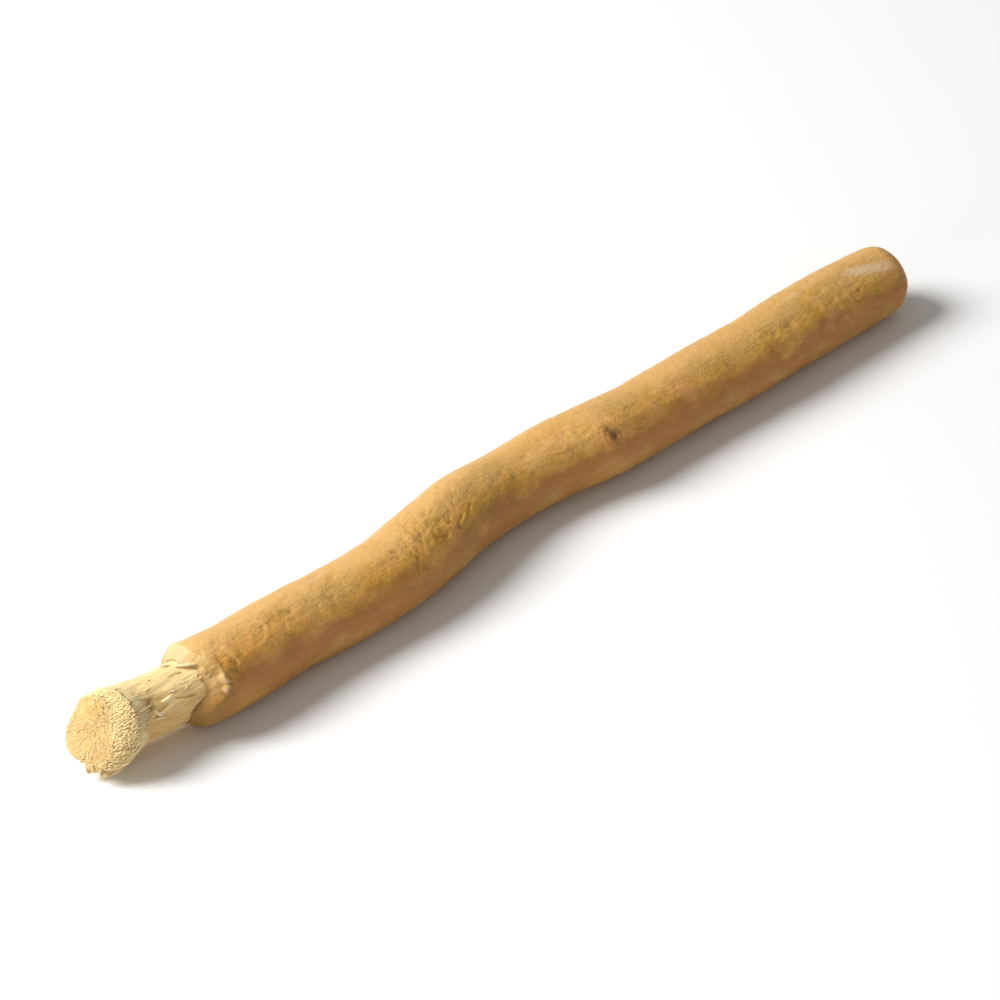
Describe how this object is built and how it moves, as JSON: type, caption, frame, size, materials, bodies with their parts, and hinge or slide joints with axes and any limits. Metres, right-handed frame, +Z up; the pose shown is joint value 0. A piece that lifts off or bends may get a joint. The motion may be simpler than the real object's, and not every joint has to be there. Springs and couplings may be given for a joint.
{
  "type": "miswak stick",
  "caption": "Root of the toothbrush tree for cleaning teeth: a gently bent stick in golden bark, peeled at one end and frayed into a pale fibre brush.",
  "frame": {"origin": "under the middle of the stick's box, on the surface that it lies on", "axes": "+X along the stick towards the cut end, away from the brush; +Z up; +Y sideways, away from the picture's camera"},
  "size_m": [0.2, 0.019, 0.015],
  "materials": {
    "bark": "dry golden-brown root bark, finely wrinkled and pitted, with olive-brown blotches, matt",
    "wood": "pale cream fibrous root wood, torn along the neck and frayed into a brush, matt"
  },
  "bodies": {
    "root": {"bark": "bark", "wood": "wood"}
  },
  "joints": []
}
